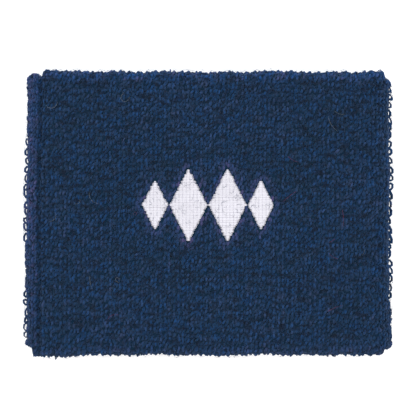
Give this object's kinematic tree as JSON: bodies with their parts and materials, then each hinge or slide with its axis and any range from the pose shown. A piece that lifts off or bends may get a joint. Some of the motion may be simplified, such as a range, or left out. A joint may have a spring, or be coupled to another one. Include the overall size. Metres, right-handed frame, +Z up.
{
  "type": "sweat wristband",
  "caption": "Short tube of terry knit folded double, lying flat: rolled rims at both mouths, creased side folds, a stitched emblem on the front wall, and elastic stretch that opens the mouth.",
  "frame": {"origin": "middle of the face that the flat band lies on, at the bottom of the back wall", "axes": "+X across the flat band from the left to the right side fold, +Y along the forearm towards the far rim, +Z up through the thickness, out of the emblem"},
  "size_m": [0.09, 0.07, 0.014],
  "materials": {
    "terry_outer": "matt cotton terry loops",
    "terry_inner": "matt cotton terry loops",
    "terry_rim": "matt cotton terry loops",
    "elastic_yarn": "covered elastic yarn",
    "seam_thread": "overlock thread",
    "emblem_thread": "lustrous embroidery thread",
    "emblem_underlay_thread": "embroidery thread",
    "backing_fleece": "nonwoven fleece"
  },
  "bodies": {
    "back_wall": {"back_outer_layer": "terry_outer", "back_inner_layer": "terry_inner", "back_far_rim": "terry_rim", "back_near_rim": "terry_rim", "back_elastic_yarns": "elastic_yarn", "back_closing_seam": "seam_thread"},
    "side_folds": {"left_fold_outer_layer": "terry_outer", "left_fold_inner_layer": "terry_inner", "left_fold_far_rim": "terry_rim", "left_fold_near_rim": "terry_rim", "left_fold_elastic_yarns": "elastic_yarn", "left_fold_closing_seam": "seam_thread", "right_fold_outer_layer": "terry_outer", "right_fold_inner_layer": "terry_inner", "right_fold_far_rim": "terry_rim", "right_fold_near_rim": "terry_rim", "right_fold_elastic_yarns": "elastic_yarn", "right_fold_closing_seam": "seam_thread"},
    "front_wall": {"front_outer_layer": "terry_outer", "front_inner_layer": "terry_inner", "front_far_rim": "terry_rim", "front_near_rim": "terry_rim", "front_elastic_yarns": "elastic_yarn", "front_closing_seam": "seam_thread", "emblem_lozenge_left_outer": "emblem_thread", "emblem_lozenge_left_inner": "emblem_thread", "emblem_lozenge_right_inner": "emblem_thread", "emblem_lozenge_right_outer": "emblem_thread", "emblem_underlay": "emblem_underlay_thread", "emblem_bobbin_thread": "emblem_underlay_thread", "emblem_backing": "backing_fleece"}
  },
  "joints": [
    {"name": "fold_lift", "type": "slide", "parent": "back_wall", "child": "side_folds", "axis": [0, 0, 1], "range_m": [0, 0.015], "stiffness_N_per_m": 360},
    {"name": "front_lift", "type": "slide", "parent": "side_folds", "child": "front_wall", "axis": [0, 0, 1], "range_m": [0, 0.015], "stiffness_N_per_m": 360}
  ],
  "couplings": [
    {"joint": "front_lift", "follows": "fold_lift", "ratio": 1}
  ]
}
